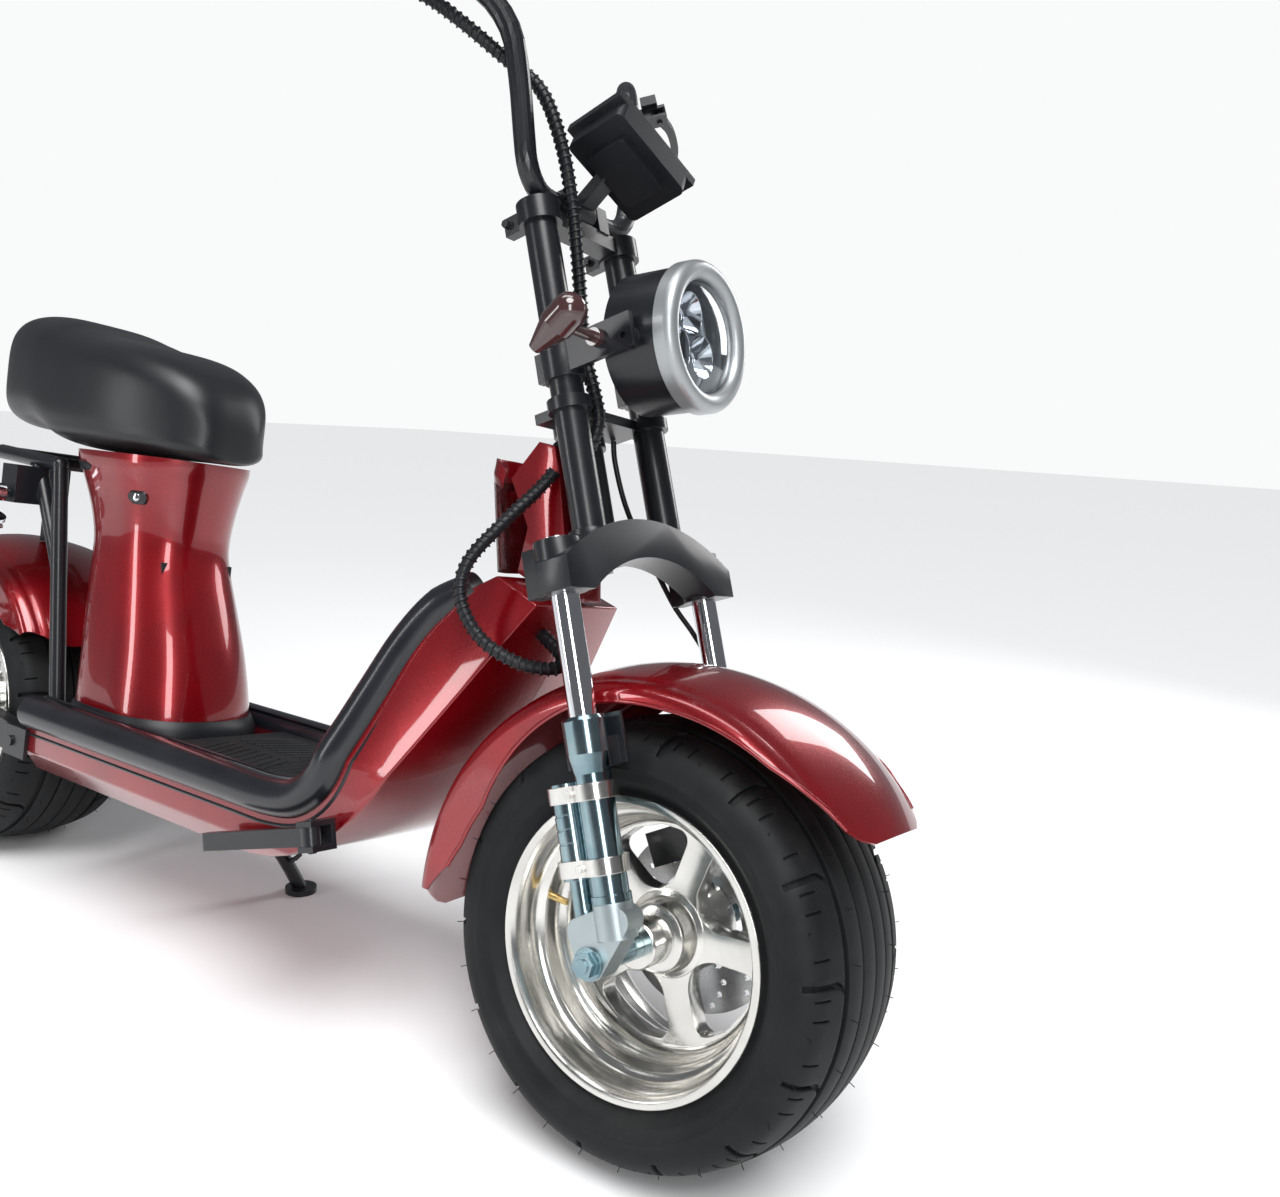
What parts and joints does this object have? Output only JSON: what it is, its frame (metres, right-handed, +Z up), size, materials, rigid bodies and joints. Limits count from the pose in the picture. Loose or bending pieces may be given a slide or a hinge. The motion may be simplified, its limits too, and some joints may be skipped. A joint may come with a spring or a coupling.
{
  "type": "seated electric scooter",
  "caption": "Fat-tyred seated electric scooter with a low foot board, upright seat box, high handlebar and twin-leg fork, parked leaning on its side stand.",
  "frame": {"origin": "on the floor under the middle of the parked scooter's box", "axes": "+X forwards, +Y to the rider's left, +Z up"},
  "size_m": [1.9769, 0.7673, 1.3051],
  "materials": {
    "red_paint": "gloss",
    "black_satin": "satin",
    "black_plastic": "matte",
    "seat_vinyl": "satin",
    "tyre_rubber": "matte",
    "rubber": "matte",
    "alloy": "polished",
    "chrome": "polished",
    "zinc_steel": "satin",
    "steel": "satin",
    "clear_glass": "clear",
    "smoked_lens": "gloss",
    "red_lens": "gloss"
  },
  "bodies": {
    "frame": {"head_tube": "black_satin", "neck": "red_paint", "neck_cover": "red_paint", "body_shell": "red_paint", "edge_trim": "black_plastic", "floor_mat": "rubber", "seat_box": "red_paint", "seat_box_skirt": "black_plastic", "battery": "black_plastic", "rear_frame": "black_satin", "pivot_plates": "black_satin", "swingarm": "black_satin", "shocks": "chrome", "shock_springs": "red_paint", "rear_fender": "red_paint", "tail_light": "red_lens", "plate_holder": "black_plastic", "stand_bracket": "black_satin", "footrest_brackets": "black_satin", "rear_axle": "zinc_steel", "rear_caliper": "black_satin", "wiring_lower": "black_plastic"},
    "steering": {"front_axle": "zinc_steel", "front_caliper": "black_satin", "fork_dropouts": "alloy", "fork_lower_legs": "zinc_steel", "fork_bands": "alloy", "fork_dampers": "zinc_steel", "fork_stanchions": "chrome", "lower_yoke": "black_satin", "upper_tubes": "black_satin", "mid_plate": "black_satin", "top_yoke": "black_satin", "steering_stem": "zinc_steel", "front_fender": "red_paint", "fender_stays": "black_satin", "headlight_bucket": "black_satin", "headlight_ring": "alloy", "headlight_lens": "clear_glass", "headlight_lamps": "chrome", "front_indicators": "smoked_lens", "handlebar": "black_satin", "grips": "rubber", "brake_levers": "black_satin", "display": "black_plastic", "wiring_upper": "black_plastic", "brake_hose": "black_plastic"},
    "front_wheel": {"front_tyre": "tyre_rubber", "front_rim": "alloy", "front_brake_disc": "steel"},
    "rear_wheel": {"rear_tyre": "tyre_rubber", "rear_rim": "alloy", "hub_motor": "alloy", "rear_brake_disc": "steel"},
    "seat": {"seat": "seat_vinyl"},
    "side_stand": {"side_stand": "black_satin"},
    "footrest_right": {"footrest_right": "black_satin"},
    "footrest_left": {"footrest_left": "black_satin"}
  },
  "joints": [
    {"name": "steering", "type": "hinge", "parent": "frame", "child": "steering", "pos_m": [0.5532, -0.06307, 0.69851], "axis": [-0.342, 0.1145, 0.9327], "range_deg": [-32, 32]},
    {"name": "front_wheel_spin", "type": "hinge", "parent": "steering", "child": "front_wheel", "pos_m": [0.743, -0.1195, 0.23896], "axis": [0, 0.9925, -0.1219], "continuous": true},
    {"name": "rear_wheel_spin", "type": "hinge", "parent": "frame", "child": "rear_wheel", "pos_m": [-0.657, -0.1195, 0.23896], "axis": [0, 0.9925, -0.1219], "continuous": true},
    {"name": "side_stand_fold", "type": "hinge", "parent": "frame", "child": "side_stand", "pos_m": [-0.095, -0.03543, 0.16869], "axis": [0, 0.9925, -0.1219], "range_deg": [0, 92]},
    {"name": "seat_lid", "type": "hinge", "parent": "frame", "child": "seat", "pos_m": [-0.133, -0.06398, 0.69106], "axis": [0, 0.9925, -0.1219], "range_deg": [0, 62]},
    {"name": "footrest_right_fold", "type": "hinge", "parent": "frame", "child": "footrest_right", "pos_m": [0.347, -0.29034, 0.29167], "axis": [-0.2756, 0.1171, 0.9541], "range_deg": [0, 85]},
    {"name": "footrest_left_fold", "type": "hinge", "parent": "frame", "child": "footrest_left", "pos_m": [0.347, 0.05903, 0.24877], "axis": [-0.2756, 0.1171, 0.9541], "range_deg": [-85, 0]}
  ]
}
